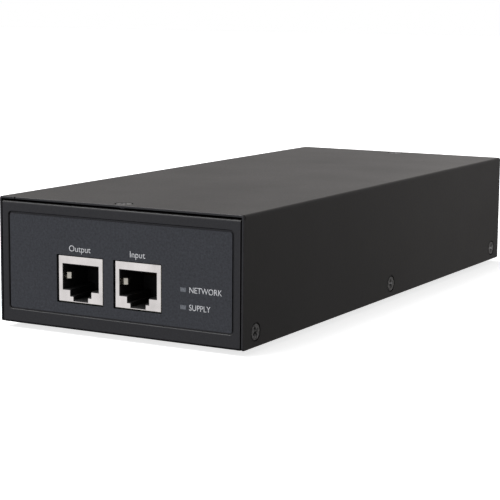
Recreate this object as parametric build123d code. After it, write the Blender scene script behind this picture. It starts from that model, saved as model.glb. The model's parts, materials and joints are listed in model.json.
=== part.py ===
"""Desktop PoE injector: a sheet-metal box with two shielded RJ45 jacks and a built-in mains supply.

Millimetres. X runs to the right as seen from the front, Y runs from the front to the rear and Z is up.
Everything is modelled with the case's underside at z = 0. save() lifts it by the height of the feet,
so the written parts stand on z = 0 with the origin under the middle of the case.
"""
import os

from build123d import *

# Case
CASE_WIDTH = 86.0
CASE_DEPTH = 202.0
CASE_HEIGHT = 39.0
SHEET = 0.7
BEND_OUTER = 0.8
BEND_INNER = 0.1
COVER_GAP = 0.1
FRONT_SIDE_GAP = 0.4
FRONT_TOP_GAP = 0.55
FLANGE_HEIGHT = 10.0
FLANGE_SETBACK = 2.5
TOP_FLANGE_LENGTH = 9.0
CASE_CORNER = 0.9
WALL_CORNER = 0.3
COVER_CORNER = 0.8
LIP_SLIT_INSET = 5.85
LIP_SLIT_WIDTH = 0.45
LIP_SLIT_DEPTH = 0.5
BEND_NICK_SETBACK = 0.7
BEND_NICK_WIDTH = 0.5
BEND_NICK_SIZE = 1.9
EDGE_OUTER = 0.2
EDGE_INNER = 0.1
TINY = 0.01

# Front panel
POCKET_WIDTH = 79.4
POCKET_HEIGHT = 30.0
POCKET_Z = 19.4
POCKET_DEPTH = 0.5
POCKET_CORNER = 1.2
POCKET_EDGE = 0.3
OVERLAY_THICKNESS = 0.35
OVERLAY_GAP = 0.5

# Jacks
JACK_WIDTH = 16.1
JACK_HEIGHT = 14.1
JACK_DEPTH = 21.5
JACK_PITCH = 20.5
JACK_PAIR_X = -3.1
JACK_BOTTOM = 8.35
JACK_SETBACK = 0.5
HOLE_SIDE_GAP = 0.45
HOLE_GAP_ABOVE = 0.2
HOLE_GAP_BELOW = 0.3
SHIELD_WALL = 0.25
SHIELD_EDGE = 0.2
HOUSING_GAP = 0.05
CAVITY_DEPTH = 12.8
# Each step of the opening, from the top one down: half width, bottom, top
WINDOW_STEPS = ((6.6, 3.6, 11.7), (3.9, 1.7, 4.0), (2.7, 0.35, 2.0))
CAVITY_STEPS = ((6.35, 3.85, 11.4), (3.75, 2.0, 4.1), (2.5, 0.75, 2.3))
# The bowed ground leaf, seen from above: half width and depth of its points
LEAF_POINTS = ((6.95, 0.0), (6.6, 0.3), (6.45, 2.2), (5.35, 2.85), (5.45, 3.6), (6.1, 5.3))
LEAF_RADIUS = 0.3
LEAF_THICKNESS = 0.2
LEAF_SPAN = (6.7, 8.6)
LEAF_ROOM = 0.25
CONTACT_COUNT = 8
CONTACT_PITCH = 1.02
CONTACT_WIDTH = 0.44
CONTACT_THICKNESS = 0.28
CONTACT_LENGTH = 8.9
CONTACT_SLOPE = 21.0
CONTACT_PIVOT_Y = 2.6
CONTACT_PIVOT_Z = 11.8
CONTACT_ROOT_RADIUS = 0.25
LEAD_Z = 12.3
LEAD_ROWS = (14.5, 17.04)

# Indicator lights
LED_X = 22.9
LED_HEIGHTS = {"network": 16.0, "power": 10.85}
LED_WINDOW = (1.95, 1.22)
LED_PIPE_BEND_Y = {"network": 9.0, "power": 5.0}
LED_CHIP = (2.0, 1.25, 0.8)
LED_CLEARANCE = 0.05

# Screws
SCREW_HEAD_RADIUS = 2.35
SCREW_RADIUS = 1.5
SCREW_SINK = 0.05
SCREW_RIM = 0.15
SCREW_CLEARANCE = 0.05
SCREW_RING_RADIUS = 2.8
SCREW_RING_DEPTH = 0.45
SCREW_RECESS = (3.2, 0.85, 1.2)
SCREW_FIRST_TURN = 25.0
SCREW_TURN_STEP = 37.0
COVER_SCREW_LENGTH = 5.0
SIDE_SCREW_Z = 4.5
SIDE_SCREW_INSET = 7.3
TOP_SCREW_INSET = 4.0

# Feet
FOOT_RADIUS = 5.0
FOOT_HEIGHT = 1.6
FOOT_INSET_X = 12.0
FOOT_INSET_Y = 15.0

# Board
BOARD_THICKNESS = 1.6
BOARD_HALF_WIDTH = 39.5
BOARD_FRONT = -98.5
BOARD_REAR = 66.0
STANDOFF_RADIUS = 2.75
STANDOFF_THREAD = 1.25
STANDOFF_X = 36.0
STANDOFF_Y = (-88.0, -10.0, 60.0)
SHEET_INSULATION = 0.4

# Mains inlet
INLET_X = -12.0
INLET_Z = 19.5
INLET_WIDTH = 27.0
INLET_HEIGHT = 19.6
INLET_DEPTH = 19.5
INLET_BEVEL = 5.5
BOSS_ROOM = 0.2
RECESS_WIDTH = 24.2
RECESS_HEIGHT = 16.6
RECESS_DEPTH = 17.0
RECESS_BEVEL = 5.0
INLET_FLANGE = (50.0, 22.5, 2.5)
INLET_SCREW_SPACING = 40.0
BLADE_SECTION = (2.0, 4.0)
BLADE_SETBACK = 3.0
TAB_SECTION = (0.8, 6.3)
TAB_END = 27.5
SPADE_TAIL = 5.0
BLADES = {"live": (-7.0, -2.0), "neutral": (7.0, -2.0), "earth": (0.0, 2.0)}

# Internal leads
LEAD_RADIUS = 1.2
EARTH_STUD = (26.0, 84.0)
RING_THICKNESS = 0.8
HEADER_CENTRE = (-22.0, 54.0)
HEADER_SIZE = (14.0, 9.0, 10.0)
HEADER_ENTRY_Z = 13.5
HEADER_ENTRY_X = {"live": -25.5, "neutral": -18.5}

# Supply parts on the board: places are (x, y), and a heatsink's is its x, middle y and length
CHOKE_CENTRE = (-17.0, 33.0)
CHOKE_OUTER = 11.0
CHOKE_INNER = 6.0
CHOKE_HEIGHT = 9.0
CHOKE_WIRE = 1.2
PRIMARY_SINK = (34.0, 20.0, 44.0)
SECONDARY_SINK = (34.0, -46.0, 36.0)
SINK_HEIGHT = 25.0
SINK_PLATE = 2.5
DEVICE_HOLE = 18.0
TRANSFORMER = (4.0, 0.0)
RECTIFIER = (16.0, 38.0)
OUTPUT_CHOKE = (-16.0, -38.0)
OUTPUT_CAPACITOR_Y = -40.0
OUTPUT_CAPACITOR_X = (-4.0, 8.0, 20.0)

FRONT = -CASE_DEPTH / 2
REAR = CASE_DEPTH / 2
SIDE = CASE_WIDTH / 2
COVER_INSIDE = SIDE - SHEET
PAN_HALF_WIDTH = COVER_INSIDE - COVER_GAP
PANEL_HALF_WIDTH = COVER_INSIDE - FRONT_SIDE_GAP
PAN_TOP = CASE_HEIGHT - SHEET - FRONT_TOP_GAP
BOARD_TOP = JACK_BOTTOM
BOARD_BOTTOM = BOARD_TOP - BOARD_THICKNESS
POCKET_FLOOR = FRONT + POCKET_DEPTH
JACKS = {
    "output": JACK_PAIR_X - JACK_PITCH / 2,
    "input": JACK_PAIR_X + JACK_PITCH / 2,
}


def block(x, y, z):
    """A box from three (low, high) pairs."""
    size = [high - low for low, high in (x, y, z)]
    middle = [(high + low) / 2 for low, high in (x, y, z)]
    return Pos(*middle) * Box(*size)


def slab(centre, size, base):
    """A box with its middle at centre (x, y) that stands on height base."""
    x, y = centre
    return Pos(x, y, base + size[2] / 2) * Box(*size)


def pillar(centre, radius, base, top):
    """An upright cylinder."""
    x, y = centre
    return Pos(x, y, (base + top) / 2) * Cylinder(radius, top - base)


def rod_x(centre, radius, length):
    """A cylinder along X."""
    return Pos(*centre) * Rot(0, 90, 0) * Cylinder(radius, length)


def wall_plate(width, height, corner, y, z_mid, x_mid=0.0):
    """A rounded plate parallel to the front panel, between the two values in y."""
    outline = RectangleRounded(width, height, corner)
    return Pos(x_mid, y[1], z_mid) * Rot(90, 0, 0) * extrude(outline, y[1] - y[0])


def tube(points, radius, bend):
    """A wire of straight runs joined by arcs."""
    path = FilletPolyline(*points, radius=bend)
    return sweep(Plane(path @ 0, z_dir=path % 0) * Circle(radius), path=path)


def save(name, shape):
    """Lift a finished piece onto the feet and write it."""
    export_step(Pos(0, 0, FOOT_HEIGHT) * shape, f"parts/{name}.step")


# ---------------------------------------------------------------- fasteners

def countersunk_screw(length):
    """A flat-head cross-recess screw along -Z with its head just under z = 0."""
    rim_end = -SCREW_SINK - SCREW_RIM
    cone = SCREW_HEAD_RADIUS - SCREW_RADIUS
    profile = Polyline(
        (0, -SCREW_SINK),
        (SCREW_HEAD_RADIUS, -SCREW_SINK),
        (SCREW_HEAD_RADIUS, rim_end),
        (SCREW_RADIUS, rim_end - cone),
        (SCREW_RADIUS, -length),
        (0, -length),
        close=True,
    )
    body = revolve(Plane.XZ * make_face(profile), Axis.Z)
    return body - Pos(0, 0, -SCREW_SINK) * cross_recess(*SCREW_RECESS)


def countersink(length):
    """The room that countersunk_screw needs: a ring round the head, the cone and the shank."""
    radius = SCREW_RADIUS + SCREW_CLEARANCE
    rim_end = -SCREW_SINK - SCREW_RIM
    ring_floor = SCREW_HEAD_RADIUS + SCREW_CLEARANCE - (SCREW_RING_DEPTH + rim_end)
    cone_end = rim_end - (SCREW_HEAD_RADIUS - SCREW_RADIUS)
    profile = Polyline(
        (0, 1),
        (SCREW_RING_RADIUS, 1),
        (SCREW_RING_RADIUS, -SCREW_RING_DEPTH),
        (ring_floor, -SCREW_RING_DEPTH),
        (radius, cone_end),
        (radius, -length - 1),
        (0, -length - 1),
        close=True,
    )
    return revolve(Plane.XZ * make_face(profile), Axis.Z)


def cross_recess(span, width, depth):
    """Two crossed slots, tapering to the bottom as a driver tip does."""
    arm = Pos(0, 0, -depth / 2 + 0.01) * Box(span, width, depth + 0.02)
    tip_radius = 0.35
    upright = (Align.CENTER, Align.CENTER, Align.MIN)
    taper = Pos(0, 0, -depth) * Cone(tip_radius, span / 2 + 0.1, depth + 0.02, align=upright)
    return (arm + Rot(0, 0, 90) * arm) & taper


def pan_head_screw(radius, head_radius, head_height, length):
    """A pan-head cross-recess screw along -Z that seats at z = 0."""
    head = Pos(0, 0, head_height / 2) * Cylinder(head_radius, head_height)
    head = fillet(head.edges().group_by(Axis.Z)[-1], head_height * 0.4)
    shank = Pos(0, 0, -length / 2) * Cylinder(radius, length)
    recess = Pos(0, 0, head_height) * cross_recess(head_radius, 0.6, head_height * 0.6)
    return head + shank - recess


def hex_nut(across_flats, height, hole):
    """A nut standing on z = 0."""
    outline = RegularPolygon(across_flats / 2, 6, major_radius=False)
    return extrude(outline, height) - Pos(0, 0, height / 2) * Cylinder(hole, height + 1)


def cover_screw_places():
    """Where the case screws go: each turns a screw along -Z to point into the case."""
    side_y = (FRONT + SIDE_SCREW_INSET, 0.0, REAR - SIDE_SCREW_INSET)
    places = []
    for y in side_y:
        places.append(Pos(SIDE, y, SIDE_SCREW_Z) * Rot(0, 90, 0))
        places.append(Pos(-SIDE, y, SIDE_SCREW_Z) * Rot(0, -90, 0))
    for y in (FRONT + TOP_SCREW_INSET, REAR - TOP_SCREW_INSET):
        places.append(Pos(0, y, CASE_HEIGHT))
    turns = [SCREW_FIRST_TURN + SCREW_TURN_STEP * index for index in range(len(places))]
    return [place * Rot(0, 0, turn) for place, turn in zip(places, turns)]


def inlet_screw_places():
    """Where the two inlet screws go in the rear wall."""
    offsets = (-INLET_SCREW_SPACING / 2, INLET_SCREW_SPACING / 2)
    return [Pos(INLET_X + dx, REAR, INLET_Z) * Rot(-90, 0, 0) for dx in offsets]


# ---------------------------------------------------------------- enclosure

def jack_panel_holes(y):
    """The two rectangular holes that the jacks look out of."""
    width = JACK_WIDTH + 2 * HOLE_SIDE_GAP
    height = HOLE_GAP_BELOW + JACK_HEIGHT + HOLE_GAP_ABOVE
    z_mid = JACK_BOTTOM - HOLE_GAP_BELOW + height / 2
    holes = [wall_plate(width, height, 0.3, y, z_mid, x) for x in JACKS.values()]
    return holes[0] + holes[1]


def led_panel_holes(y):
    """The two small windows for the indicator lights."""
    width = LED_WINDOW[0] + 2 * LED_CLEARANCE
    height = LED_WINDOW[1] + 2 * LED_CLEARANCE
    holes = [wall_plate(width, height, 0.2, y, z, LED_X) for z in LED_HEIGHTS.values()]
    return holes[0] + holes[1]


def rounded_base_profile(half_width, height, corner, y):
    """A slab as wide and high as given, with its two lower edges along Y rounded."""
    solid = block((-half_width, half_width), y, (0, height))
    lower = solid.edges().filter_by(Axis.Y).group_by(Axis.Z)[0]
    return fillet(lower, corner)


def pan_outline():
    """The pan's lower edges: bent round where the side flanges run, near square at the end walls."""
    ends = (FRONT + FLANGE_SETBACK, REAR - FLANGE_SETBACK)
    middle = rounded_base_profile(PANEL_HALF_WIDTH, PAN_TOP, CASE_CORNER, ends)
    front = rounded_base_profile(PANEL_HALF_WIDTH, PAN_TOP, WALL_CORNER, (FRONT, ends[0]))
    rear = rounded_base_profile(PANEL_HALF_WIDTH, PAN_TOP, WALL_CORNER, (ends[1], REAR))
    return middle + front + rear


def pan_shell():
    """Floor, front wall, rear wall and their top flanges, bent from one sheet."""
    outer = block((-PANEL_HALF_WIDTH, PANEL_HALF_WIDTH), (FRONT, REAR), (0, PAN_TOP))
    outer = fillet(outer.edges().filter_by(Axis.X), BEND_OUTER)
    span = PANEL_HALF_WIDTH + 1
    inner = block((-span, span), (FRONT + SHEET, REAR - SHEET), (SHEET, PAN_TOP - SHEET))
    inner = fillet(inner.edges().filter_by(Axis.X), BEND_INNER)
    mouth = block(
        (-span, span),
        (FRONT + TOP_FLANGE_LENGTH, REAR - TOP_FLANGE_LENGTH),
        (PAN_TOP - 2 * SHEET, PAN_TOP + 1),
    )
    return (outer & pan_outline()) - inner - mouth


def pan_side_flanges():
    """The floor's two low side flanges that the cover screws bite into."""
    span = (FRONT + FLANGE_SETBACK, REAR - FLANGE_SETBACK)
    outer = rounded_base_profile(PAN_HALF_WIDTH, FLANGE_HEIGHT, CASE_CORNER, span)
    inside = PAN_HALF_WIDTH - SHEET
    inner = block((-inside, inside), (span[0] - 1, span[1] + 1), (SHEET, FLANGE_HEIGHT + 1))
    inner = fillet(inner.edges().filter_by(Axis.Y).group_by(Axis.Z)[0], CASE_CORNER - SHEET)
    return outer - inner


def front_pocket():
    """The shallow stamped recess of the front wall: what it adds behind and what it cuts in front."""
    backing = wall_plate(
        POCKET_WIDTH + 2 * POCKET_DEPTH,
        POCKET_HEIGHT + 2 * POCKET_DEPTH,
        POCKET_CORNER + POCKET_DEPTH,
        (POCKET_FLOOR, POCKET_FLOOR + SHEET),
        POCKET_Z,
    )
    cut = wall_plate(POCKET_WIDTH, POCKET_HEIGHT, POCKET_CORNER, (FRONT - 1, POCKET_FLOOR), POCKET_Z)
    return backing, cut


def soften_pocket(pan):
    """Round the pressed edge round the recess."""
    rim = [
        edge
        for edge in pan.edges()
        if abs(edge.center().Y - FRONT) < TINY
        and abs(edge.center().X) < POCKET_WIDTH / 2 + TINY
        and abs(edge.center().Z - POCKET_Z) < POCKET_HEIGHT / 2 + TINY
    ]
    return fillet(rim, POCKET_EDGE)


def base_pan():
    """The lower half of the case."""
    backing, cut = front_pocket()
    pan = soften_pocket(pan_shell() + backing - cut)
    pan = pan + pan_side_flanges()
    through_front = (FRONT - 1, FRONT + 3)
    pan = pan - jack_panel_holes(through_front) - led_panel_holes(through_front)
    cutout = (INLET_WIDTH + 2 * BOSS_ROOM, INLET_HEIGHT + 2 * BOSS_ROOM, INLET_BEVEL)
    pan = pan - inlet_outline(*cutout, (REAR - 2, REAR + 1))
    for place in cover_screw_places() + inlet_screw_places():
        pan = pan - place * countersink(COVER_SCREW_LENGTH)
    return pan


def rim_edges(cover, outside):
    """The cut edges round the cover's sheet, on its outer or its inner face."""
    chosen = []
    for edge in cover.edges():
        middle = edge @ 0.5
        under_surface = min(SIDE - abs(middle.X), CASE_HEIGHT - middle.Z)
        on_face = under_surface < 0.45 * SHEET if outside else under_surface > 0.55 * SHEET
        at_end = REAR - abs(middle.Y) < TINY
        at_bottom = middle.Z < TINY
        in_corner = REAR - abs(middle.Y) < COVER_CORNER and middle.Z < COVER_CORNER
        if on_face and (at_end or at_bottom or in_corner):
            chosen.append(edge)
    return chosen


def lip_cuts():
    """The relief slit in the cover's front lip and the nick in each of its bends."""
    x = LIP_SLIT_INSET - SIDE
    across = (x - LIP_SLIT_WIDTH / 2, x + LIP_SLIT_WIDTH / 2)
    slit = block(across, (FRONT - 1, FRONT + LIP_SLIT_DEPTH), (CASE_HEIGHT - SHEET - 1, CASE_HEIGHT + 1))
    nick = Rot(0, 45, 0) * Box(BEND_NICK_SIZE, BEND_NICK_WIDTH, BEND_NICK_SIZE)
    nicks = [Pos(side * SIDE, FRONT + BEND_NICK_SETBACK, CASE_HEIGHT) * nick for side in (-1, 1)]
    return [slit, *nicks]


def top_cover():
    """The top and both sides, bent from one sheet."""
    outer = block((-SIDE, SIDE), (FRONT, REAR), (0, CASE_HEIGHT))
    outer = fillet(outer.edges().filter_by(Axis.Y).group_by(Axis.Z)[-1], BEND_OUTER)
    inner = block((-COVER_INSIDE, COVER_INSIDE), (FRONT - 1, REAR + 1), (-1, CASE_HEIGHT - SHEET))
    inner = fillet(inner.edges().filter_by(Axis.Y).group_by(Axis.Z)[-1], BEND_INNER)
    cover = outer - inner
    lower_corners = [
        edge
        for edge in cover.edges().filter_by(Axis.X)
        if edge.center().Z < TINY and REAR - abs(edge.center().Y) < TINY
    ]
    cover = fillet(lower_corners, COVER_CORNER)
    cover = fillet(rim_edges(cover, outside=True), EDGE_OUTER)
    cover = fillet(rim_edges(cover, outside=False), EDGE_INNER)
    for place in cover_screw_places():
        cover = cover - place * countersink(COVER_SCREW_LENGTH)
    for cut in lip_cuts():
        cover = cover - cut
    return cover


def front_overlay():
    """The printed film that fills the recess of the front wall."""
    film = wall_plate(
        POCKET_WIDTH - 2 * OVERLAY_GAP,
        POCKET_HEIGHT - 2 * OVERLAY_GAP,
        POCKET_CORNER - OVERLAY_GAP,
        (POCKET_FLOOR - OVERLAY_THICKNESS, POCKET_FLOOR),
        POCKET_Z,
    )
    through = (FRONT - 1, FRONT + 1)
    return film - jack_panel_holes(through) - led_panel_holes(through)


def rubber_feet():
    """Four stick-on feet."""
    foot = Pos(0, 0, -FOOT_HEIGHT / 2) * Cylinder(FOOT_RADIUS, FOOT_HEIGHT)
    foot = fillet(foot.edges().group_by(Axis.Z)[0], 0.5)
    x = SIDE - FOOT_INSET_X
    y = REAR - FOOT_INSET_Y
    return Compound([Pos(sx * x, sy * y, 0) * foot for sx in (-1, 1) for sy in (-1, 1)])


# ---------------------------------------------------------------- RJ45 jacks
# Local frame: x across, y inwards from the jack's face, z up from the board.

def plug_profile(steps, y):
    """The stepped opening of a jack between the two values in y."""
    blocks = [block((-half, half), y, (bottom, top)) for half, bottom, top in steps]
    return blocks[0] + blocks[1] + blocks[2]


def ground_leaf():
    """One bowed spring leaf of the shield, on the right-hand side of the opening."""
    inner = FilletPolyline(*LEAF_POINTS, radius=LEAF_RADIUS)
    outer = Pos(LEAF_THICKNESS, 0, 0) * inner
    ends = [Line(inner @ 1, outer @ 1), Line(inner @ 0, outer @ 0)]
    outline = make_face([*inner.edges(), *outer.edges(), *ends])
    bottom, top = LEAF_SPAN
    return Pos(0, 0, bottom) * extrude(outline, top - bottom)


def jack_shield():
    """The plated steel can with its stepped window, two spring leaves and two board tails."""
    half = JACK_WIDTH / 2
    can = block((-half, half), (0, JACK_DEPTH), (0, JACK_HEIGHT))
    can = fillet(can.edges().group_by(Axis.Y)[0] + can.edges().group_by(Axis.Z)[-1], SHIELD_EDGE)
    wall = SHIELD_WALL
    inside = block((wall - half, half - wall), (wall, JACK_DEPTH - wall), (-1, JACK_HEIGHT - wall))
    can = can - inside - plug_profile(WINDOW_STEPS, (-1, 1))
    tail = block((half - wall, half), (8.0, 9.5), (-3.0, 0.5))
    leaf = ground_leaf()
    for piece in (tail, leaf):
        can = can + piece + mirror(piece, Plane.YZ)
    return can


def jack_housing():
    """The moulded insert that guides the plug and holds the contacts."""
    edge = SHIELD_WALL + HOUSING_GAP
    half = JACK_WIDTH / 2 - edge
    body = block((-half, half), (edge, JACK_DEPTH - edge), (0, JACK_HEIGHT - edge))
    comb = 4.1
    channel_top = 12.75
    over = block((-comb, comb), (1.9, 17.7), (11.2, channel_top))
    down = block((-comb, comb), (13.9, 17.7), (-1, channel_top))
    body = body - plug_profile(CAVITY_STEPS, (0, CAVITY_DEPTH)) - over - down
    inner = CAVITY_STEPS[0][0] - LEAF_ROOM
    depth = (0, LEAF_POINTS[-1][1] + 1)
    height = (LEAF_SPAN[0] - LEAF_ROOM, LEAF_SPAN[1] + LEAF_ROOM)
    for side in (-1, 1):
        body = body - block(sorted((side * inner, side * (half + 1))), depth, height)
    return body


def contact_offsets():
    """Sideways places of the contacts."""
    return [(index - (CONTACT_COUNT - 1) / 2) * CONTACT_PITCH for index in range(CONTACT_COUNT)]


def jack_leads():
    """The fixed run of each contact, over the housing and down through the board."""
    half = CONTACT_WIDTH / 2
    thick = 0.15
    leads = []
    for index, x in enumerate(contact_offsets()):
        row = LEAD_ROWS[index % 2]
        span = (x - half, x + half)
        over = block(span, (CONTACT_PIVOT_Y - 0.25, row + thick), (LEAD_Z - thick, LEAD_Z + thick))
        down = block(span, (row - thick, row + thick), (-BOARD_THICKNESS - 1, LEAD_Z))
        leads.append(over + down)
    return Compound(leads)


def jack_contacts():
    """The sprung run of each contact, which a plug pushes up about its root."""
    half = CONTACT_WIDTH / 2
    thick = CONTACT_THICKNESS / 2
    blade = block((-half, half), (0, CONTACT_LENGTH), (-thick, thick))
    root = rod_x((0, 0, 0), CONTACT_ROOT_RADIUS, CONTACT_WIDTH)
    tip = rod_x((0, CONTACT_LENGTH, 0), 0.2, CONTACT_WIDTH)
    finger = Rot(-CONTACT_SLOPE, 0, 0) * (blade + root + tip)
    return Compound([Pos(x, CONTACT_PIVOT_Y, CONTACT_PIVOT_Z) * finger for x in contact_offsets()])


# ---------------------------------------------------------------- indicator lights

def light_pipe(name):
    """A clear pipe from the chip on the board, up and forward to its window."""
    half = LED_WINDOW[0] / 2
    z = LED_HEIGHTS[name]
    depth = LED_WINDOW[1]
    face = POCKET_FLOOR - OVERLAY_THICKNESS
    back = FRONT + LED_PIPE_BEND_Y[name]
    x = (LED_X - half, LED_X + half)
    forward = block(x, (face, back), (z - depth / 2, z + depth / 2))
    down = block(x, (back - depth, back), (BOARD_TOP + LED_CHIP[2] + 0.1, z + depth / 2))
    pipe = forward + down
    bend = pipe.edges().filter_by(Axis.X).group_by(Axis.Z)[-1].sort_by(Axis.Y)[-1]
    return chamfer(bend, depth * 0.6)


def led_chip(name):
    """The light itself, under the foot of its pipe."""
    y = FRONT + LED_PIPE_BEND_Y[name] - LED_WINDOW[1] / 2
    chip = slab((LED_X, y), LED_CHIP, BOARD_TOP)
    return chamfer(chip.edges().group_by(Axis.Z)[-1], 0.15)


# ---------------------------------------------------------------- mains inlet

def inlet_outline(width, height, bevel, y):
    """The inlet's outline, with its two upper corners cut off, between the two values in y."""
    half = width / 2
    tall = height / 2
    outline = Polyline(
        (-half, -tall),
        (half, -tall),
        (half, tall - bevel),
        (half - bevel, tall),
        (bevel - half, tall),
        (-half, tall - bevel),
        close=True,
    )
    face = make_face(outline)
    face = fillet(face.vertices(), 0.8)
    return Pos(INLET_X, y[1], INLET_Z) * Rot(90, 0, 0) * extrude(face, y[1] - y[0])


def blade(name, room=0.0):
    """One mains pin: a blade towards the plug and a tab towards the wiring."""
    x, z = BLADES[name]
    x = x + INLET_X
    z = z + INLET_Z
    half = BLADE_SECTION[0] / 2 + room
    tall = BLADE_SECTION[1] / 2 + room
    depth = (REAR - INLET_DEPTH - 1, REAR - BLADE_SETBACK)
    front = block((x - half, x + half), depth, (z - tall, z + tall))
    if room:
        return front
    front = chamfer(front.edges().group_by(Axis.Y)[-1], 0.5)
    tab_half = TAB_SECTION[0] / 2
    tab_tall = TAB_SECTION[1] / 2
    tab = block(
        (x - tab_half, x + tab_half),
        (REAR - TAB_END, REAR - INLET_DEPTH - 0.5),
        (z - tab_tall, z + tab_tall),
    )
    return front + tab


def mains_inlet():
    """The moulded inlet: its boss fills the cut-out and its flange lies behind the rear wall."""
    body = inlet_outline(INLET_WIDTH, INLET_HEIGHT, INLET_BEVEL, (REAR - INLET_DEPTH, REAR))
    width, height, thickness = INLET_FLANGE
    inner_face = REAR - SHEET
    flange = wall_plate(width, height, 3.0, (inner_face - thickness, inner_face), INLET_Z, INLET_X)
    recess = inlet_outline(RECESS_WIDTH, RECESS_HEIGHT, RECESS_BEVEL, (REAR - RECESS_DEPTH, REAR + 1))
    inlet = body + flange - recess
    for name in BLADES:
        inlet = inlet - blade(name, room=0.02)
    for place in inlet_screw_places():
        inlet = inlet - place * countersink(COVER_SCREW_LENGTH)
    return inlet


def inlet_nuts():
    """A nut behind each end of the inlet's flange."""
    back = REAR - SHEET - INLET_FLANGE[2]
    nuts = []
    for dx in (-INLET_SCREW_SPACING / 2, INLET_SCREW_SPACING / 2):
        place = Pos(INLET_X + dx, back, INLET_Z) * Rot(90, 0, 0)
        nuts.append(place * hex_nut(5.5, 2.4, SCREW_RADIUS + SCREW_CLEARANCE))
    return Compound(nuts)


def spade_terminal(name):
    """An insulated push-on terminal over one inlet tab."""
    x, z = BLADES[name]
    x = x + INLET_X
    z = z + INLET_Z
    depth = (REAR - TAB_END - SPADE_TAIL, REAR - INLET_DEPTH - 1.5)
    body = block((x - 1.8, x + 1.8), depth, (z - 3.6, z + 3.6))
    body = fillet(body.edges().filter_by(Axis.Y), 1.0)
    half = TAB_SECTION[0] / 2 + 0.05
    tall = TAB_SECTION[1] / 2 + 0.05
    return body - block((x - half, x + half), (REAR - TAB_END - 0.2, REAR), (z - tall, z + tall))


def terminal_exit(name):
    """Where a wire leaves its spade terminal."""
    x, z = BLADES[name]
    return (x + INLET_X, REAR - TAB_END - SPADE_TAIL, z + INLET_Z)


# ---------------------------------------------------------------- wiring

def mains_wire(name):
    """A wire from its spade terminal to the board header."""
    x, y, z = terminal_exit(name)
    end_x = HEADER_ENTRY_X[name]
    header_rear = HEADER_CENTRE[1] + HEADER_SIZE[1] / 2
    points = [
        (x, y, z),
        (x, y - 3, z),
        (end_x, header_rear + 3, HEADER_ENTRY_Z),
        (end_x, header_rear, HEADER_ENTRY_Z),
    ]
    return tube(points, LEAD_RADIUS, 1.3)


def earth_wire():
    """The wire from the earth pin to the ring terminal on the floor."""
    x, y, z = terminal_exit("earth")
    ring_x, ring_y = EARTH_STUD
    barrel_z = SHEET + RING_THICKNESS + LEAD_RADIUS
    points = [
        (x, y, z),
        (x, y - 3.5, z),
        (x + 13, y - 6, z - 1.5),
        (x + 27, y + 0.5, z - 10.5),
        (ring_x, ring_y - 13, barrel_z),
        (ring_x, ring_y - 8, barrel_z),
    ]
    return tube(points, LEAD_RADIUS, (1.5, 5.0, 5.0, 2.5))


def earth_ring():
    """The crimped ring terminal under the earth nut."""
    x, y = EARTH_STUD
    ring = pillar(EARTH_STUD, 4.0, SHEET, SHEET + RING_THICKNESS)
    barrel_z = SHEET + RING_THICKNESS + LEAD_RADIUS
    strip = block((x - 2, x + 2), (y - 8, y), (SHEET, SHEET + RING_THICKNESS))
    barrel = block((x - 2, x + 2), (y - 8, y - 4.6), (SHEET, barrel_z + LEAD_RADIUS))
    return ring + strip + barrel - pillar(EARTH_STUD, 2.05, 0, 10)


def mains_header():
    """The board header that the two mains wires enter."""
    header = slab(HEADER_CENTRE, HEADER_SIZE, BOARD_TOP)
    return fillet(header.edges().filter_by(Axis.Z), 0.8)


# ---------------------------------------------------------------- board

def standoff_places():
    """Where the board is held down."""
    return [(sign * STANDOFF_X, y) for sign in (-1, 1) for y in STANDOFF_Y]


def main_board():
    """The circuit board, drilled for its screws and for the jacks' tails."""
    across = (-BOARD_HALF_WIDTH, BOARD_HALF_WIDTH)
    board = block(across, (BOARD_FRONT, BOARD_REAR), (BOARD_BOTTOM, BOARD_TOP))
    board = fillet(board.edges().filter_by(Axis.Z), 1.5)
    for place in standoff_places():
        board = board - pillar(place, 1.6, 0, BOARD_TOP + 1)
    face = FRONT + JACK_SETBACK
    for jack_x in JACKS.values():
        for index, x in enumerate(contact_offsets()):
            board = board - pillar((jack_x + x, face + LEAD_ROWS[index % 2]), 0.45, 0, BOARD_TOP + 1)
        for side in (-1, 1):
            tail_x = jack_x + side * (JACK_WIDTH / 2 - SHIELD_WALL / 2)
            board = board - slab((tail_x, face + 8.75), (0.9, 2.1, BOARD_TOP), 1)
    return board


def board_standoffs():
    """Pressed-in pillars between the floor and the board."""
    pillars = []
    for place in standoff_places():
        post = pillar(place, STANDOFF_RADIUS, SHEET, BOARD_BOTTOM)
        pillars.append(post - pillar(place, STANDOFF_THREAD, SHEET + 1, BOARD_BOTTOM + 1))
    return Compound(pillars)


def board_screws():
    """Pan-head screws through the board into the standoffs."""
    screw = pan_head_screw(STANDOFF_THREAD - 0.05, 2.6, 1.8, 5.5)
    return Compound([Pos(x, y, BOARD_TOP) * screw for x, y in standoff_places()])


def insulating_sheet():
    """The film between the board and the floor."""
    edge = BOARD_HALF_WIDTH - 1
    film = block((-edge, edge), (BOARD_FRONT + 1.5, BOARD_REAR), (SHEET, SHEET + SHEET_INSULATION))
    for place in standoff_places():
        film = film - pillar(place, STANDOFF_RADIUS + 0.4, 0, 5)
    return film


# ---------------------------------------------------------------- supply

def can_capacitor(centre, radius, height):
    """An aluminium electrolytic can with its rolled groove and scored top."""
    body = pillar(centre, radius, BOARD_TOP, BOARD_TOP + height)
    body = fillet(body.edges().group_by(Axis.Z)[-1], 0.8)
    x, y = centre
    groove = Pos(x, y, BOARD_TOP + 2.2) * Torus(radius + 0.35, 0.8)
    top = BOARD_TOP + height
    score = slab(centre, (radius * 1.2, 0.4, 0.6), top - 0.3)
    return body - groove - score - Pos(x, y, 0) * Rot(0, 0, 90) * Pos(-x, -y, 0) * score


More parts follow.
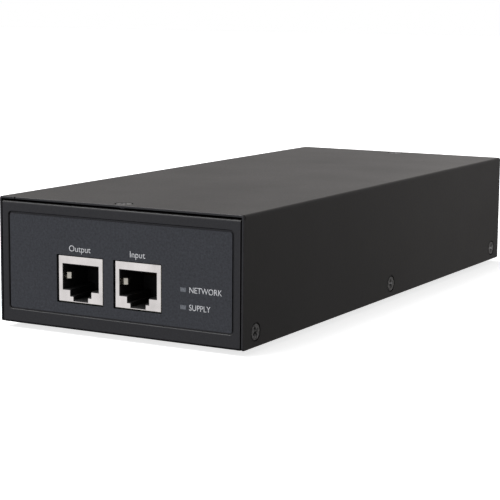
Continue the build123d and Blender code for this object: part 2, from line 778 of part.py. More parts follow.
def disc_part(centre, radius, thickness, turn=0.0):
    """A dipped disc standing on its edge, with two short legs."""
    x, y = centre
    lift = 1.0
    disc = Rot(90, 0, 0) * Cylinder(radius, thickness)
    disc = fillet(disc.edges(), thickness * 0.3)
    disc = Pos(0, 0, BOARD_TOP + lift + radius) * disc
    for sign in (-1, 1):
        disc = disc + pillar((sign * radius * 0.5, 0), 0.4, BOARD_TOP, BOARD_TOP + lift + radius)
    return Pos(x, y, 0) * Rot(0, 0, turn) * disc


def mains_fuse():
    """A radial fuse in a round case."""
    body = pillar((-34.0, 40.0), 4.25, BOARD_TOP, BOARD_TOP + 8)
    return fillet(body.edges().group_by(Axis.Z)[-1], 0.6)


def filter_capacitor():
    """The boxed film capacitor across the mains."""
    box = slab((5.0, 53.0), (26.5, 11.0, 19.0), BOARD_TOP)
    return fillet(box.edges().group_by(Axis.Z)[-1] + box.edges().filter_by(Axis.Z), 0.8)


def filter_choke_core():
    """The ferrite ring of the mains filter."""
    z = BOARD_TOP + CHOKE_WIRE
    ring = pillar(CHOKE_CENTRE, CHOKE_OUTER, z, z + CHOKE_HEIGHT)
    return ring - pillar(CHOKE_CENTRE, CHOKE_INNER, 0, z + CHOKE_HEIGHT + 1)


def filter_choke_windings():
    """The two windings, each round a third of the ring."""
    x, y = CHOKE_CENTRE
    low = BOARD_TOP + CHOKE_WIRE
    outer = (CHOKE_INNER - CHOKE_WIRE, CHOKE_OUTER + CHOKE_WIRE)
    around = pillar(CHOKE_CENTRE, outer[1], BOARD_TOP, low + CHOKE_HEIGHT + CHOKE_WIRE)
    around = around - pillar(CHOKE_CENTRE, outer[0], 0, CASE_HEIGHT)
    core = pillar(CHOKE_CENTRE, CHOKE_OUTER, low, low + CHOKE_HEIGHT)
    core = core - pillar(CHOKE_CENTRE, CHOKE_INNER, 0, CASE_HEIGHT)
    winding = around - core
    reach = 20
    gap = 3.5
    left = winding & block((x - reach, x - gap), (y - reach, y + reach), (0, CASE_HEIGHT))
    right = winding & block((x + gap, x + reach), (y - reach, y + reach), (0, CASE_HEIGHT))
    return Compound([left, right])


def bridge_rectifier():
    """The flat rectifier on its edge, with four legs."""
    x, y = RECTIFIER
    body = slab(RECTIFIER, (20.0, 3.6, 16.0), BOARD_TOP + 1.5)
    body = chamfer(body.edges().filter_by(Axis.Y).group_by(Axis.Z)[-1].sort_by(Axis.X)[-1], 3.0)
    for offset in (-7.5, -2.5, 2.5, 7.5):
        body = body + slab((x + offset, y), (1.0, 0.6, 2.0), BOARD_TOP)
    return body


def heatsink(place):
    """A finned aluminium plate along Y. place is its x, middle y and length."""
    x, y, length = place
    plate = slab((x, y), (SINK_PLATE, length, SINK_HEIGHT), BOARD_TOP)
    fins = int(length // 6)
    pitch = length / fins
    for index in range(fins):
        fin_y = y - length / 2 + pitch * (index + 0.5)
        plate = plate + slab((x + SINK_PLATE / 2 + 1.2, fin_y), (2.4, 1.2, SINK_HEIGHT), BOARD_TOP)
    hole = rod_x((x, y, BOARD_TOP + DEVICE_HOLE), SCREW_RADIUS, 20)
    return plate - hole


def power_package(place):
    """A three-legged power device against its heatsink."""
    x, y, _ = place
    face = x - SINK_PLATE / 2
    tab = block((face - 1.3, face), (y - 5, y + 5), (BOARD_TOP + 5, BOARD_TOP + 20.5))
    body = block((face - 4.5, face - 1.3), (y - 5, y + 5), (BOARD_TOP + 5, BOARD_TOP + 14))
    package = tab + body
    for offset in (-2.54, 0, 2.54):
        across = (y + offset - 0.4, y + offset + 0.4)
        package = package + block((face - 2.9, face - 2.3), across, (BOARD_TOP, BOARD_TOP + 5))
    return package - rod_x((face, y, BOARD_TOP + DEVICE_HOLE), SCREW_RADIUS + 0.1, 10)


def heatsink_screws():
    """A screw through each power device into its heatsink."""
    screw = pan_head_screw(SCREW_RADIUS - 0.05, 2.7, 1.8, 1.3 + SINK_PLATE + 1)
    screws = []
    for x, y, _ in (PRIMARY_SINK, SECONDARY_SINK):
        face = x - SINK_PLATE / 2 - 1.3
        screws.append(Pos(face, y, BOARD_TOP + DEVICE_HOLE) * Rot(0, -90, 0) * screw)
    return Compound(screws)


def transformer_core():
    """The ferrite core: two outer legs, a round middle leg and two yokes."""
    x, y = TRANSFORMER
    width, length, height = 33.0, 18.0, 27.0
    core = slab((x, y), (width, length, height), BOARD_TOP)
    window = slab((x, y), (width - 10, length + 2, height - 10), BOARD_TOP + 5)
    middle = pillar((x, y), 5.5, BOARD_TOP, BOARD_TOP + height)
    return core - window + middle


def transformer_bobbin():
    """The moulded former between core and winding."""
    x, y = TRANSFORMER
    low, high = BOARD_TOP + 5, BOARD_TOP + 22
    body = pillar((x, y), 6.4, low, high)
    for z in (low, high - 1):
        body = body + slab((x, y), (22.6, 26.0, 1.0), z)
    return body - pillar((x, y), 5.55, 0, CASE_HEIGHT)


def transformer_winding():
    """The taped windings."""
    x, y = TRANSFORMER
    low, high = BOARD_TOP + 6, BOARD_TOP + 21
    return pillar((x, y), 10.8, low, high) - pillar((x, y), 6.45, 0, CASE_HEIGHT)


def output_capacitors():
    """Three cans in a row after the output rectifier."""
    return Compound([can_capacitor((x, OUTPUT_CAPACITOR_Y), 5.0, 20.0) for x in OUTPUT_CAPACITOR_X])


def output_choke():
    """A drum choke on the output."""
    drum = pillar(OUTPUT_CHOKE, 6.5, BOARD_TOP, BOARD_TOP + 12)
    waist = pillar(OUTPUT_CHOKE, 10, BOARD_TOP + 2, BOARD_TOP + 10)
    waist = waist - pillar(OUTPUT_CHOKE, 5.2, 0, CASE_HEIGHT)
    return drum - waist


def chip(centre, size, leg_pitch, legs):
    """A small moulded package with legs along two sides."""
    x, y = centre
    width, length, height = size
    body = slab(centre, (width, length, height), BOARD_TOP + 0.1)
    body = chamfer(body.edges().group_by(Axis.Z)[-1], 0.2)
    for index in range(legs):
        offset = (index - (legs - 1) / 2) * leg_pitch
        for side in (-1, 1):
            foot_x = x + side * (width / 2 + 0.4)
            body = body + slab((foot_x, y + offset), (1.2, leg_pitch * 0.4, height * 0.4), BOARD_TOP)
    return body


# ---------------------------------------------------------------- assembly

def make_all():
    """Every node of the injector, by name."""
    case_screws = [place * countersunk_screw(COVER_SCREW_LENGTH) for place in cover_screw_places()]
    flange_screws = [place * countersunk_screw(8.0) for place in inlet_screw_places()]
    parts = {
        "base_pan": base_pan(),
        "top_cover": top_cover(),
        "front_overlay": front_overlay(),
        "cover_screws": Compound(case_screws),
        "rubber_feet": rubber_feet(),
        "mains_inlet": mains_inlet(),
        "inlet_pins": Compound([blade(name) for name in BLADES]),
        "inlet_screws": Compound(flange_screws),
        "inlet_nuts": inlet_nuts(),
        "spade_terminals": Compound([spade_terminal(name) for name in BLADES]),
        "live_wire": mains_wire("live"),
        "neutral_wire": mains_wire("neutral"),
        "earth_wire": earth_wire(),
        "earth_ring": earth_ring(),
        "earth_stud": pillar(EARTH_STUD, 2.0, SHEET, SHEET + 8),
        "earth_nut": Pos(*EARTH_STUD, SHEET + RING_THICKNESS) * hex_nut(7.0, 3.2, 2.05),
        "mains_header": mains_header(),
        "main_board": main_board(),
        "board_standoffs": board_standoffs(),
        "board_screws": board_screws(),
        "insulating_sheet": insulating_sheet(),
        "mains_fuse": mains_fuse(),
        "surge_varistor": disc_part((-34.0, 26.0), 6.0, 4.5, turn=90),
        "inrush_thermistor": disc_part((28.0, 53.0), 5.5, 4.0, turn=90),
        "filter_capacitor": filter_capacitor(),
        "filter_choke_core": filter_choke_core(),
        "filter_choke_windings": filter_choke_windings(),
        "bridge_rectifier": bridge_rectifier(),
        "bulk_capacitor": can_capacitor((-26.0, 3.0), 11.0, 27.0),
        "primary_heatsink": heatsink(PRIMARY_SINK),
        "switching_transistor": power_package(PRIMARY_SINK),
        "secondary_heatsink": heatsink(SECONDARY_SINK),
        "output_rectifier": power_package(SECONDARY_SINK),
        "heatsink_screws": heatsink_screws(),
        "transformer_core": transformer_core(),
        "transformer_bobbin": transformer_bobbin(),
        "transformer_winding": transformer_winding(),
        "output_capacitors": output_capacitors(),
        "output_choke": output_choke(),
        "optocoupler": chip((-4.0, -22.0), (4.6, 6.4, 3.4), 2.54, 2),
        "supply_controller": chip((-22.0, -22.0), (3.9, 4.9, 1.4), 1.27, 4),
        "poe_controller": chip((8.0, -60.0), (7.5, 12.8, 2.3), 1.27, 8),
        "data_transformer": chip((-12.0, -62.0), (9.5, 15.0, 5.6), 1.27, 8),
    }
    for name in LED_HEIGHTS:
        parts[f"{name}_light_pipe"] = light_pipe(name)
        parts[f"{name}_led"] = led_chip(name)
    for name, x in JACKS.items():
        place = Pos(x, FRONT + JACK_SETBACK, BOARD_TOP)
        parts[f"{name}_jack_shield"] = place * jack_shield()
        parts[f"{name}_jack_housing"] = place * jack_housing()
        parts[f"{name}_jack_leads"] = place * jack_leads()
        parts[f"{name}_jack_contacts"] = place * jack_contacts()
    return parts


os.makedirs("parts", exist_ok=True)
for node, piece in make_all().items():
    save(node, piece)
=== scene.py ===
"""The looks of the desktop PoE injector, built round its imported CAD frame. Metres, Z up, front to -Y."""
import json
import math

import bpy
from mathutils import Matrix, Vector


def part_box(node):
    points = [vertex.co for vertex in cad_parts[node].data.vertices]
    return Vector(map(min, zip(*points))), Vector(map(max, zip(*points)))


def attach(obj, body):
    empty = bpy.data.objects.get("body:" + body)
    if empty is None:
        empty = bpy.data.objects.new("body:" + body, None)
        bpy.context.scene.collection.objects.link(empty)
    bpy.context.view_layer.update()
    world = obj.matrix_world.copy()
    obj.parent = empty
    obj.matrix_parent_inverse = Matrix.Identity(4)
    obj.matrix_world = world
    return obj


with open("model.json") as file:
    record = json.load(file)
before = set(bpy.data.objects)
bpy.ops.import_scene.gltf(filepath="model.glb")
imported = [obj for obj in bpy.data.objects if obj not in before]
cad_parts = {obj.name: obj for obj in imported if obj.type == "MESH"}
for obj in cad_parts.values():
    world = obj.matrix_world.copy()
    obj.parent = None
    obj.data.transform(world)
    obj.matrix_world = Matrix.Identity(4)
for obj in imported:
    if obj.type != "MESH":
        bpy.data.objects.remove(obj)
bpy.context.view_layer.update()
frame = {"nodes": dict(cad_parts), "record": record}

MM = 0.001
CASE = "case"

# Camera: its place from the middle of the cover's lower edge, and where it points, in degrees
CAMERA_OFFSET = Vector((0.2624, -0.4887, 0.0983))
CAMERA_AZIMUTH = 29.28
CAMERA_PITCH = 8.81
CAMERA_ROLL = 0.44
CAMERA_LENS = 115.56
CAMERA_SENSOR = 36.0

# Room: soft light by direction. Each patch is (azimuth from the front towards +X, elevation,
# spread, all in degrees, brightness, tint)
COOL = (0.96, 0.97, 1.08)
PLAIN = (1.0, 1.0, 1.0)
WARM = (1.05, 1.0, 0.97)
ROOM_BASE = 0.06
ROOM_PATCHES = (
    (-30, -12, 45, 0.69, COOL),
    (-30, 25, 45, 0.30, COOL),
    (0, 45, 40, 0.6, PLAIN),
    (-70, 60, 35, 6.0, PLAIN),
    (35, -8, 30, 0.45, PLAIN),
    (88, 5, 36, 1.0, PLAIN),
    (150, -8, 40, 0.11, WARM),
    (180, 8, 32, 0.47, WARM),
    (-150, 8, 34, 0.42, WARM),
)
HORIZON_LIT = -0.25
HORIZON_DARK = -0.6
FLOOR_SIZE = 8.0
FLOOR_GREY = 0.85
FLOOR_GLOW = 0.75
FLOOR_ROUGHNESS = 0.9
FLOOR_DROP = 0.1 * MM

# Legends: cap heights and places against the pieces they name
LEGEND_DEPTH = 0.02 * MM
PORT_TEXT_SIZE = 2.65 * MM
LIGHT_TEXT_SIZE = 2.45 * MM
LIGHT_TEXT_NARROW = 0.9
TEXT_THINNING = 0.004
LIGHT_WINDOW_HEIGHT = 1.22 * MM
PORT_TEXT_RISE = 2.25 * MM
TEXT_UPRIGHT = math.radians(90)
LIGHT_TEXT_GAP = 1.0 * MM


# ---------------------------------------------------------------- node helpers

def add(tree, kind, settings=None, values=(), **sockets):
    """A node with its settings, its first inputs in order from values, and named inputs.

    A value may be a socket.
    """
    made = tree.nodes.new(kind)
    for key, value in (settings or {}).items():
        setattr(made, key, value)
    named = [(made.inputs[name.replace("_", " ")], value) for name, value in sockets.items()]
    for socket, value in list(zip(made.inputs, values)) + named:
        if isinstance(value, bpy.types.NodeSocket):
            tree.links.new(value, socket)
        else:
            socket.default_value = value
    return made


def place(tree, stretch=(1.0, 1.0, 1.0)):
    """Position on the object, in metres times stretch."""
    coords = add(tree, "ShaderNodeTexCoord").outputs["Object"]
    return add(tree, "ShaderNodeMapping", Vector=coords, Scale=stretch).outputs[0]


def noise(tree, size, detail=2.0, stretch=(1.0, 1.0, 1.0), rough=0.5):
    """Noise whose patches are about size metres across, from 0 to 1."""
    made = add(
        tree,
        "ShaderNodeTexNoise",
        Vector=place(tree, stretch),
        Scale=1.0 / size,
        Detail=detail,
        Roughness=rough,
    )
    return made.outputs[0]


def cells(tree, size, feature="F1"):
    """Distance to the nearest of scattered points about size metres apart."""
    made = add(tree, "ShaderNodeTexVoronoi", {"feature": feature}, Vector=place(tree), Scale=1.0 / size)
    return made.outputs[0]


def spread(tree, value, low, high, start=0.3, end=0.7):
    """value from start..end to low..high."""
    made = add(tree, "ShaderNodeMapRange", values=(value, start, end, low, high))
    return made.outputs[0]


def arith(tree, operation, first, second=0.0):
    """One sum on two values."""
    return add(tree, "ShaderNodeMath", {"operation": operation}, values=(first, second)).outputs[0]


def blend_colour(tree, factor, first, second):
    """A colour between two, by factor."""
    made = add(tree, "ShaderNodeMix", {"data_type": "RGBA"})
    for socket, value in ((made.inputs[0], factor), (made.inputs[6], first), (made.inputs[7], second)):
        if isinstance(value, bpy.types.NodeSocket):
            tree.links.new(value, socket)
        else:
            socket.default_value = value
    return made.outputs[2]


def bump(tree, height, depth, strength=1.0, below=None):
    """A bump of height times depth metres, over another bump if there is one."""
    made = add(tree, "ShaderNodeBump", Height=height, Distance=depth, Strength=strength)
    if below is not None:
        tree.links.new(below, made.inputs["Normal"])
    return made.outputs[0]


def worn_edges(tree, radius):
    """1 on convex and concave edges and 0 on flats, from how far rounding would turn the surface."""
    rounded = add(tree, "ShaderNodeBevel", {"samples": 4}, Radius=radius).outputs[0]
    flat = add(tree, "ShaderNodeNewGeometry").outputs["True Normal"]
    turned = add(tree, "ShaderNodeVectorMath", {"operation": "DOT_PRODUCT"}, values=(rounded, flat))
    return spread(tree, turned.outputs["Value"], 1.0, 0.0, 0.8, 0.99)


def rgba(red, green, blue):
    """An opaque colour."""
    return (red, green, blue, 1.0)


def start_material(name, metallic=0.0, ior=1.5):
    """A new material: its node tree and its shader."""
    made = bpy.data.materials.new(name)
    made.use_nodes = True
    shader = made.node_tree.nodes["Principled BSDF"]
    shader.inputs["Metallic"].default_value = metallic
    shader.inputs["IOR"].default_value = ior
    return made, made.node_tree, shader


def connect(tree, shader, colour=None, roughness=None, normal=None):
    """Joins what is given to the shader."""
    for name, value in (("Base Color", colour), ("Roughness", roughness), ("Normal", normal)):
        if value is not None:
            tree.links.new(value, shader.inputs[name])


# ---------------------------------------------------------------- materials

def powder_coat(name):
    """Fine-textured black powder coat: a grain, an orange peel, faint handling marks and rubbed edges."""
    made, tree, shader = start_material(name)
    grain = noise(tree, 0.45 * MM, 2.0)
    peel = noise(tree, 1.6 * MM, 1.0)
    marks = noise(tree, 30 * MM, 4.0)
    dark, light = rgba(0.0085, 0.0082, 0.0086), rgba(0.0195, 0.019, 0.0196)
    coat = blend_colour(tree, spread(tree, grain, 0, 1), dark, light)
    rubbed = arith(tree, "MULTIPLY", worn_edges(tree, 0.25 * MM), spread(tree, marks, 0.15, 0.6))
    colour = blend_colour(tree, rubbed, coat, rgba(0.035, 0.034, 0.036))
    roughness = arith(tree, "ADD", spread(tree, marks, 0.39, 0.43), spread(tree, grain, -0.03, 0.05))
    relief = bump(tree, peel, 0.03 * MM, 0.35)
    relief = bump(tree, grain, 0.035 * MM, 0.6, relief)
    connect(tree, shader, colour, roughness, relief)
    return made


def overlay_film(name):
    """Fine-grained blue-grey polycarbonate film."""
    made, tree, shader = start_material(name)
    grain = noise(tree, 0.8 * MM, 4.0, rough=0.65)
    velvet = cells(tree, 0.55 * MM)
    marks = noise(tree, 25 * MM, 3.0)
    mixed = arith(tree, "ADD", spread(tree, grain, 0, 0.7), spread(tree, velvet, 0, 0.3, 0.1, 0.6))
    colour = blend_colour(tree, mixed, rgba(0.012, 0.0135, 0.016), rgba(0.048, 0.052, 0.061))
    roughness = arith(tree, "ADD", spread(tree, marks, 0.36, 0.44), spread(tree, grain, -0.04, 0.04))
    relief = bump(tree, velvet, 0.02 * MM, 0.4)
    relief = bump(tree, grain, 0.05 * MM, 0.6, relief)
    connect(tree, shader, colour, roughness, relief)
    return made


def plated_sheet(name, tint, low=0.16, high=0.32):
    """Plated sheet metal: faint rolling streaks, small stains and a slightly uneven plate."""
    made, tree, shader = start_material(name, metallic=1.0)
    streaks = noise(tree, 0.5 * MM, 2.0, stretch=(1.0, 1.0, 0.08))
    stains = noise(tree, 5 * MM, 4.0)
    dull = rgba(*[part * 0.88 for part in tint])
    colour = blend_colour(tree, spread(tree, stains, 0, 1, 0.35, 0.75), rgba(*tint), dull)
    roughness = arith(tree, "ADD", spread(tree, stains, low, high), spread(tree, streaks, -0.03, 0.03))
    relief = bump(tree, streaks, 0.001 * MM, 0.3)
    relief = bump(tree, stains, 0.03 * MM, 0.2, relief)
    connect(tree, shader, colour, roughness, relief)
    return made


def turned_metal(name, tint, roughness=0.3):
    """Solid bright metal with fine tooling noise and tarnish."""
    made, tree, shader = start_material(name, metallic=1.0)
    tooling = noise(tree, 0.25 * MM, 2.0, stretch=(1.0, 1.0, 0.2))
    tarnish = noise(tree, 3 * MM, 3.0)
    dull = rgba(*[part * 0.7 for part in tint])
    colour = blend_colour(tree, spread(tree, tarnish, 0, 1), rgba(*tint), dull)
    shine = spread(tree, tarnish, roughness - 0.08, roughness + 0.1)
    shine = arith(tree, "ADD", shine, spread(tree, tooling, -0.03, 0.03))
    connect(tree, shader, colour, shine, bump(tree, tooling, 0.006 * MM, 0.4))
    return made


def moulded(name, tint, roughness=0.45, grain_size=0.35, ior=1.5):
    """Moulded plastic: spark-eroded grain, faint flow marks and rubbed edges."""
    made, tree, shader = start_material(name, ior=ior)
    grain = noise(tree, grain_size * MM, 2.0)
    flow = noise(tree, 9 * MM, 3.0)
    deep = rgba(*[part * 0.8 for part in tint])
    light = rgba(*[min(1.0, part * 1.15 + 0.002) for part in tint])
    colour = blend_colour(tree, spread(tree, flow, 0, 1), deep, light)
    edge = arith(tree, "MULTIPLY", worn_edges(tree, 0.15 * MM), 0.3)
    colour = blend_colour(tree, edge, colour, rgba(*[min(1.0, part * 1.5 + 0.02) for part in tint]))
    shine = spread(tree, flow, roughness - 0.05, roughness + 0.07)
    shine = arith(tree, "ADD", shine, spread(tree, grain, -0.04, 0.04))
    connect(tree, shader, colour, shine, bump(tree, grain, 0.02 * MM, 0.35))
    return made


def black_oxide(name):
    """Blackened steel screws: mottled satin dark grey, rubbed brighter at the rim and recess."""
    made, tree, shader = start_material(name, metallic=0.85)
    speck = noise(tree, 0.45 * MM, 3.0)
    rubbed = arith(tree, "MULTIPLY", worn_edges(tree, 0.2 * MM), spread(tree, speck, 0.0, 1.0))
    dark = blend_colour(tree, spread(tree, speck, 0, 1), rgba(0.08, 0.08, 0.082), rgba(0.36, 0.36, 0.362))
    colour = blend_colour(tree, rubbed, dark, rgba(0.5, 0.49, 0.47))
    connect(tree, shader, colour, spread(tree, speck, 0.28, 0.45), bump(tree, speck, 0.02 * MM, 0.5))
    return made


def soft_rubber(name):
    """Matt rubber with a dusty bloom."""
    made, tree, shader = start_material(name, ior=1.45)
    dust = noise(tree, 2.5 * MM, 4.0)
    pores = cells(tree, 0.5 * MM)
    colour = blend_colour(tree, spread(tree, dust, 0, 1), rgba(0.012, 0.012, 0.012), rgba(0.03, 0.03, 0.029))
    connect(tree, shader, colour, spread(tree, dust, 0.72, 0.9), bump(tree, pores, 0.03 * MM, 0.3))
    return made


def printed_board(name):
    """Green solder resist over faint copper tracks."""
    made, tree, shader = start_material(name)
    tracks = add(
        tree,
        "ShaderNodeTexBrick",
        {"offset": 0.5, "squash": 1.0},
        Vector=place(tree),
        Scale=260.0,
        Color1=rgba(0, 0, 0),
        Color2=rgba(0.15, 0.15, 0.15),
        Mortar=rgba(1, 1, 1),
        Mortar_Size=0.05,
    ).outputs[0]
    weave = noise(tree, 0.8 * MM, 2.0)
    colour = blend_colour(tree, tracks, rgba(0.012, 0.085, 0.03), rgba(0.03, 0.16, 0.05))
    connect(tree, shader, colour, spread(tree, weave, 0.22, 0.36), bump(tree, tracks, 0.03 * MM, 0.5))
    return made


def wound_wire(name, tint):
    """Close turns of enamelled wire or tape: fine ridges across the winding."""
    made, tree, shader = start_material(name, ior=1.55)
    turns = add(
        tree,
        "ShaderNodeTexWave",
        {"bands_direction": "Z"},
        Vector=place(tree),
        Scale=420.0,
        Distortion=0.4,
        Detail=1.0,
    ).outputs[1]
    tone = noise(tree, 2 * MM, 2.0)
    colour = blend_colour(tree, spread(tree, tone, 0, 1), rgba(*[part * 0.75 for part in tint]), rgba(*tint))
    connect(tree, shader, colour, spread(tree, tone, 0.25, 0.4), bump(tree, turns, 0.15 * MM, 0.6))
    return made


def striped_wire(name, base, stripe):
    """Two-colour insulation for the earth wire."""
    made, tree, shader = start_material(name)
    bands = add(
        tree,
        "ShaderNodeTexWave",
        {"bands_direction": "DIAGONAL"},
        Vector=place(tree),
        Scale=90.0,
        Distortion=0.0,
    ).outputs[1]
    scuff = noise(tree, 1.5 * MM, 3.0)
    colour = blend_colour(tree, spread(tree, bands, 0, 1, 0.48, 0.52), rgba(*base), rgba(*stripe))
    connect(tree, shader, colour, spread(tree, scuff, 0.25, 0.4), bump(tree, scuff, 0.02 * MM, 0.3))
    return made


def smoky_pipe(name):
    """Diffusing acrylic, seen as a grey window."""
    made, tree, shader = start_material(name, ior=1.49)
    haze = noise(tree, 0.4 * MM, 3.0)
    colour = blend_colour(tree, spread(tree, haze, 0, 1), rgba(0.155, 0.165, 0.18), rgba(0.23, 0.245, 0.265))
    connect(tree, shader, colour, spread(tree, haze, 0.22, 0.34), bump(tree, haze, 0.01 * MM, 0.3))
    return made


def white_ink(name):
    """Screen-printed ink with a slightly uneven lay-down."""
    made, tree, shader = start_material(name)
    lay = noise(tree, 0.25 * MM, 3.0)
    colour = blend_colour(tree, spread(tree, lay, 0, 1), rgba(0.88, 0.89, 0.90), rgba(0.98, 0.98, 0.98))
    connect(tree, shader, colour, spread(tree, lay, 0.4, 0.55), bump(tree, lay, 0.005 * MM, 0.3))
    return made


LOOKS = {
    "powder_coat": powder_coat,
    "overlay_film": overlay_film,
    "black_screw": black_oxide,
    "foot_rubber": soft_rubber,
    "black_nylon": lambda name: moulded(name, (0.014, 0.014, 0.015), 0.42),
    "nickel_brass": lambda name: plated_sheet(name, (0.78, 0.75, 0.70)),
    "zinc_steel": lambda name: turned_metal(name, (0.72, 0.74, 0.76)),
    "clear_nylon": lambda name: moulded(name, (0.62, 0.62, 0.58), 0.35),
    "brown_insulation": lambda name: moulded(name, (0.09, 0.03, 0.015), 0.32),
    "blue_insulation": lambda name: moulded(name, (0.01, 0.06, 0.32), 0.32),
    "green_insulation": lambda name: striped_wire(name, (0.03, 0.24, 0.04), (0.75, 0.62, 0.05)),
    "tinned_copper": lambda name: plated_sheet(name, (0.76, 0.74, 0.70)),
    "white_nylon": lambda name: moulded(name, (0.66, 0.65, 0.58), 0.4),
    "circuit_board": printed_board,
    "insulator_film": lambda name: moulded(name, (0.02, 0.02, 0.02), 0.3, 0.8),
    "brown_plastic": lambda name: moulded(name, (0.07, 0.03, 0.015), 0.4),
    "blue_epoxy": lambda name: moulded(name, (0.015, 0.05, 0.30), 0.25, 1.5),
    "green_epoxy": lambda name: moulded(name, (0.015, 0.08, 0.03), 0.25, 1.5),
    "yellow_box": lambda name: moulded(name, (0.62, 0.40, 0.03), 0.38),
    "ferrite": lambda name: moulded(name, (0.035, 0.035, 0.038), 0.5, 0.6),
    "copper_enamel": lambda name: wound_wire(name, (0.42, 0.13, 0.035)),
    "black_epoxy": lambda name: moulded(name, (0.016, 0.016, 0.017), 0.5, 0.25),
    "capacitor_sleeve": lambda name: moulded(name, (0.018, 0.02, 0.035), 0.28, 1.2),
    "heatsink_aluminium": lambda name: plated_sheet(name, (0.66, 0.67, 0.69), 0.3, 0.45),
    "winding_tape": lambda name: wound_wire(name, (0.66, 0.46, 0.06)),
    "light_pipe": smoky_pipe,
    "led_package": lambda name: moulded(name, (0.70, 0.69, 0.62), 0.35),
    "nickel_steel": lambda name: plated_sheet(name, (0.93, 0.88, 0.79), 0.2, 0.3),
    # jack plastic: black plastic set darker than the other black plastics, painting the shade inside the
    # jack openings
    "jack_plastic": lambda name: moulded(name, (0.003, 0.003, 0.003), 0.62, 0.3),
    "gold_bronze": lambda name: turned_metal(name, (0.90, 0.66, 0.28), 0.22),
}


def dress_cad():
    """Gives every CAD node the material of its slot in the record."""
    made = {}
    for row in frame["record"]["subparts"]:
        slot = row["material_slot"]
        if slot not in made:
            made[slot] = LOOKS[slot](slot)
        mesh = frame["nodes"][row["node"]].data
        mesh.materials.clear()
        mesh.materials.append(made[slot])


# ---------------------------------------------------------------- legends

def legend(name, words, size, spot, align, material, narrow=1.0):
    """One line of thin printed lettering on the overlay, with its middle height at spot."""
    text = bpy.data.curves.new(name, "FONT")
    text.body = words
    text.size = size
    text.align_x = align
    text.align_y = "CENTER"
    text.extrude = LEGEND_DEPTH
    text.offset = -TEXT_THINNING * size
    text.materials.append(material)
    piece = bpy.data.objects.new(name, text)
    bpy.context.scene.collection.objects.link(piece)
    piece.location = spot
    piece.rotation_euler = (TEXT_UPRIGHT, 0, 0)
    piece.scale = (narrow, 1.0, 1.0)
    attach(piece, CASE)
    return piece


def print_legends():
    """Plain words over the ports and beside the lights."""
    ink = white_ink("white_ink")
    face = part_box("front_overlay")[0].y
    for port, words in (("output", "Output"), ("input", "Input")):
        low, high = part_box(f"{port}_jack_shield")
        spot = Vector(((low.x + high.x) / 2, face, high.z + PORT_TEXT_RISE))
        legend(f"legend_{port}", words, PORT_TEXT_SIZE, spot, "CENTER", ink)
    for light, words in (("network", "NETWORK"), ("power", "SUPPLY")):
        low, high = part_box(f"{light}_light_pipe")
        spot = Vector((high.x + LIGHT_TEXT_GAP, face, high.z - LIGHT_WINDOW_HEIGHT / 2))
        legend(f"legend_{light}", words, LIGHT_TEXT_SIZE, spot, "LEFT", ink, LIGHT_TEXT_NARROW)


# ---------------------------------------------------------------- studio

def heading(azimuth, elevation):
    """The direction of a place in the room, from its azimuth and elevation in degrees."""
    around, up = math.radians(azimuth), math.radians(elevation)
    return Vector((math.sin(around) * math.cos(up), -math.cos(around) * math.cos(up), math.sin(up)))


def tinted(tree, tint, amount):
    """A colour times an amount."""
    return add(tree, "ShaderNodeVectorMath", {"operation": "SCALE"}, values=(tint,), Scale=amount).outputs[0]


def vector_sum(tree, first, second):
    """Two colours added."""
    return add(tree, "ShaderNodeVectorMath", {"operation": "ADD"}, values=(first, second)).outputs[0]


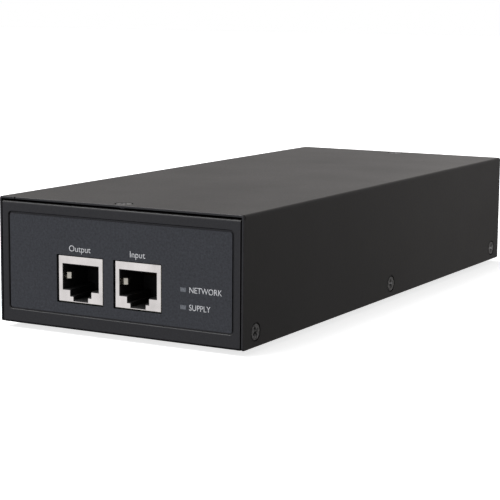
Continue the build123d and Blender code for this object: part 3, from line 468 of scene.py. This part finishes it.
def build_room():
    """Soft light that depends only on its direction, behind a plain white background."""
    world = bpy.data.worlds.new("room")
    bpy.context.scene.world = world
    world.use_nodes = True
    tree = world.node_tree
    tree.nodes.clear()
    towards = add(tree, "ShaderNodeTexCoord").outputs["Generated"]
    total = (ROOM_BASE,) * 3
    for azimuth, elevation, degrees, brightness, tint in ROOM_PATCHES:
        aim = heading(azimuth, elevation)
        facing = add(tree, "ShaderNodeVectorMath", {"operation": "DOT_PRODUCT"}, values=(towards, aim))
        patch = add(
            tree,
            "ShaderNodeMapRange",
            {"interpolation_type": "SMOOTHERSTEP"},
            values=(facing.outputs["Value"], math.cos(math.radians(degrees)), 1.0, 0.0, brightness),
        ).outputs[0]
        total = vector_sum(tree, total, tinted(tree, tint, patch))
    height = add(tree, "ShaderNodeSeparateXYZ", Vector=towards).outputs["Z"]
    lit_part = spread(tree, height, 0.0, 1.0, HORIZON_DARK, HORIZON_LIT)
    lit = add(tree, "ShaderNodeBackground", Color=total, Strength=lit_part)
    seen = add(tree, "ShaderNodeBackground", Color=rgba(1, 1, 1), Strength=1.0)
    direct = add(tree, "ShaderNodeLightPath").outputs["Is Camera Ray"]
    mixed = add(tree, "ShaderNodeMixShader", values=(direct, lit.outputs[0], seen.outputs[0]))
    add(tree, "ShaderNodeOutputWorld", Surface=mixed.outputs[0])


def build_floor():
    """A plain pale floor under the feet."""
    mesh = bpy.data.meshes.new("floor")
    half = FLOOR_SIZE / 2
    corners = [(x * half, y * half, -FLOOR_DROP) for x, y in ((-1, -1), (1, -1), (1, 1), (-1, 1))]
    mesh.from_pydata(corners, [], [(0, 1, 2, 3)])
    floor = bpy.data.objects.new("floor", mesh)
    bpy.context.scene.collection.objects.link(floor)
    made, tree, shader = start_material("pale_floor")
    shader.inputs["Base Color"].default_value = rgba(FLOOR_GREY, FLOOR_GREY, FLOOR_GREY)
    shader.inputs["Roughness"].default_value = FLOOR_ROUGHNESS
    shader.inputs["Specular IOR Level"].default_value = 0.0
    shader.inputs["Emission Color"].default_value = rgba(1, 1, 1)
    shader.inputs["Emission Strength"].default_value = FLOOR_GLOW
    mesh.materials.append(made)
    floor.visible_diffuse = False
    floor.visible_glossy = False
    floor.visible_shadow = False


def build_camera():
    """The camera, placed from the middle of the cover's lower edge."""
    low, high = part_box("top_cover")
    data = bpy.data.cameras.new("camera")
    data.lens = CAMERA_LENS
    data.sensor_width = CAMERA_SENSOR
    camera = bpy.data.objects.new("camera", data)
    bpy.context.scene.collection.objects.link(camera)
    base = Vector(((low.x + high.x) / 2, (low.y + high.y) / 2, low.z))
    turn = Matrix.Rotation(math.radians(CAMERA_AZIMUTH), 4, "Z")
    tilt = Matrix.Rotation(math.radians(90 - CAMERA_PITCH), 4, "X")
    roll = Matrix.Rotation(math.radians(CAMERA_ROLL), 4, "Z")
    camera.matrix_world = Matrix.Translation(base + CAMERA_OFFSET) @ turn @ tilt @ roll
    bpy.context.scene.camera = camera


build_camera()
build_room()
build_floor()
dress_cad()
print_legends()
bpy.context.scene.view_settings.view_transform = "Standard"
